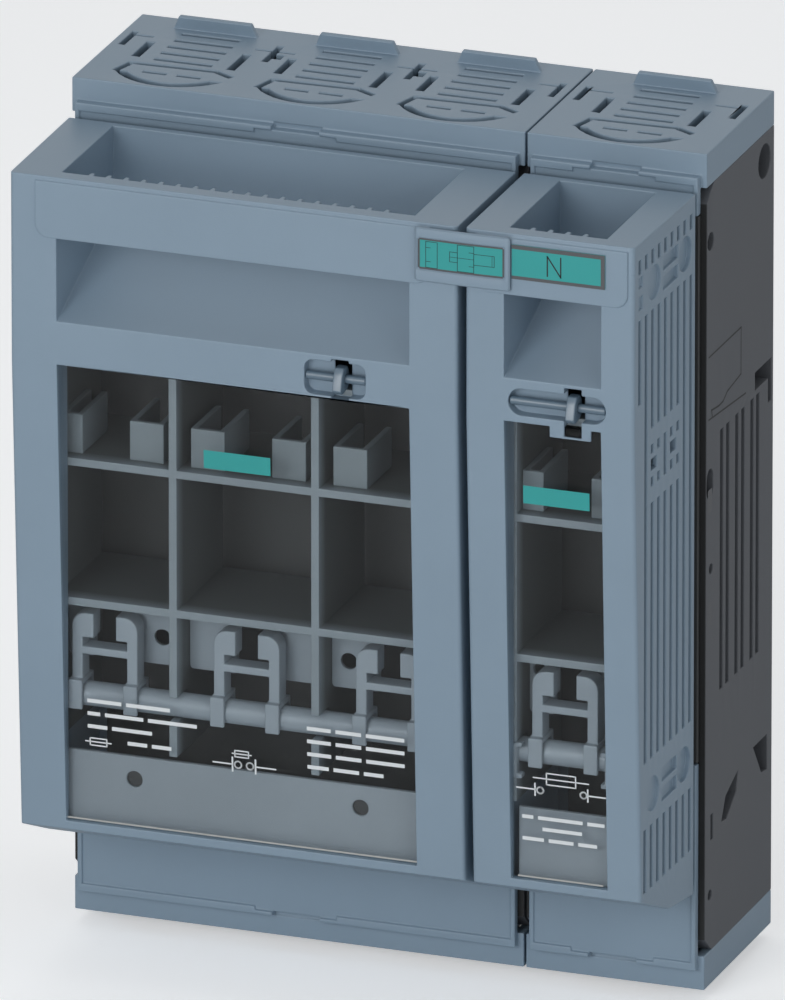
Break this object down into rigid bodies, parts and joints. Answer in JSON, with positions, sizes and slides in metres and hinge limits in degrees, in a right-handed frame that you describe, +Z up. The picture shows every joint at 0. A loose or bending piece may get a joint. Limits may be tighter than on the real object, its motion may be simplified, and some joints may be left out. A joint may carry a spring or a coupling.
{
  "type": "fuse switch disconnector",
  "caption": "Low-voltage fuse switch disconnector for a mounting plate: dark housings, blue-grey terminal covers, and hinged fuse carriers with grip bars and smoked windows, tied by a clip.",
  "frame": {"origin": "middle of the flat back that lies on the mounting plate: half the overall width and half the height", "axes": "+X to the right across the poles seen from the front, +Y into the mounting plate (the front faces -Y), +Z up"},
  "size_m": [0.1484, 0.0886, 0.2024],
  "materials": {
    "housing": "dark grey moulded thermoset, fine matt texture",
    "shell": "blue-grey moulded plastic, satin",
    "window": "smoked clear plastic",
    "inner": "light grey moulded plastic",
    "lock": "dark blue-grey plastic",
    "contact": "silver-plated copper",
    "steel": "zinc-plated steel",
    "label": "plain teal label plate"
  },
  "bodies": {
    "base": {"base_main": "housing", "base_neutral": "housing", "bottom_cover_main": "shell", "bottom_cover_neutral": "shell", "jaw_springs_main": "steel", "jaw_springs_neutral": "steel", "line_contact_1": "contact", "line_contact_2": "contact", "line_contact_3": "contact", "line_contact_neutral": "contact", "load_contact_1": "contact", "load_contact_2": "contact", "load_contact_3": "contact", "load_contact_neutral": "contact", "splitter_plates_main": "steel", "splitter_plates_neutral": "steel", "terminal_saddles_main": "steel", "terminal_saddles_neutral": "steel", "terminal_screws_main": "steel", "terminal_screws_neutral": "steel", "top_cover_main": "shell", "top_cover_neutral": "shell", "touch_guard_main": "inner", "touch_guard_neutral": "inner"},
    "carrier_main": {"carrier_main": "shell", "foot_hook_1": "inner", "foot_hook_2": "inner", "foot_hook_3": "inner", "fuse_tray_main": "inner", "link_clip": "shell", "lock_pin_main": "lock", "seat_bar_main": "inner", "upper_clips_main": "inner", "window_main": "window"},
    "carrier_neutral": {"carrier_neutral": "shell", "foot_hook_neutral": "inner", "fuse_tray_neutral": "inner", "lock_pin_neutral": "lock", "pole_label_neutral": "label", "seat_bar_neutral": "inner", "upper_clips_neutral": "inner", "window_neutral": "window"},
    "lock_lever_main": {"lock_lever_main": "lock"},
    "lock_lever_neutral": {"lock_lever_neutral": "lock"}
  },
  "joints": [
    {"name": "carrier_main_hinge", "type": "hinge", "parent": "base", "child": "carrier_main", "pos_m": [-0.02115, -0.057, -0.069], "axis": [1, 0, 0], "range_deg": [0, 90]},
    {"name": "carrier_neutral_hinge", "type": "hinge", "parent": "base", "child": "carrier_neutral", "pos_m": [0.05325, -0.057, -0.069], "axis": [1, 0, 0], "range_deg": [0, 90]},
    {"name": "lock_lever_main_hinge", "type": "hinge", "parent": "carrier_main", "child": "lock_lever_main", "pos_m": [0.0039, -0.085, 0.051], "axis": [-1, 0, 0], "range_deg": [0, 80]},
    {"name": "lock_lever_neutral_hinge", "type": "hinge", "parent": "carrier_neutral", "child": "lock_lever_neutral", "pos_m": [0.058, -0.085, 0.051], "axis": [-1, 0, 0], "range_deg": [0, 80]}
  ],
  "couplings": [
    {"joint": "carrier_neutral_hinge", "follows": "carrier_main_hinge", "ratio": 1}
  ]
}
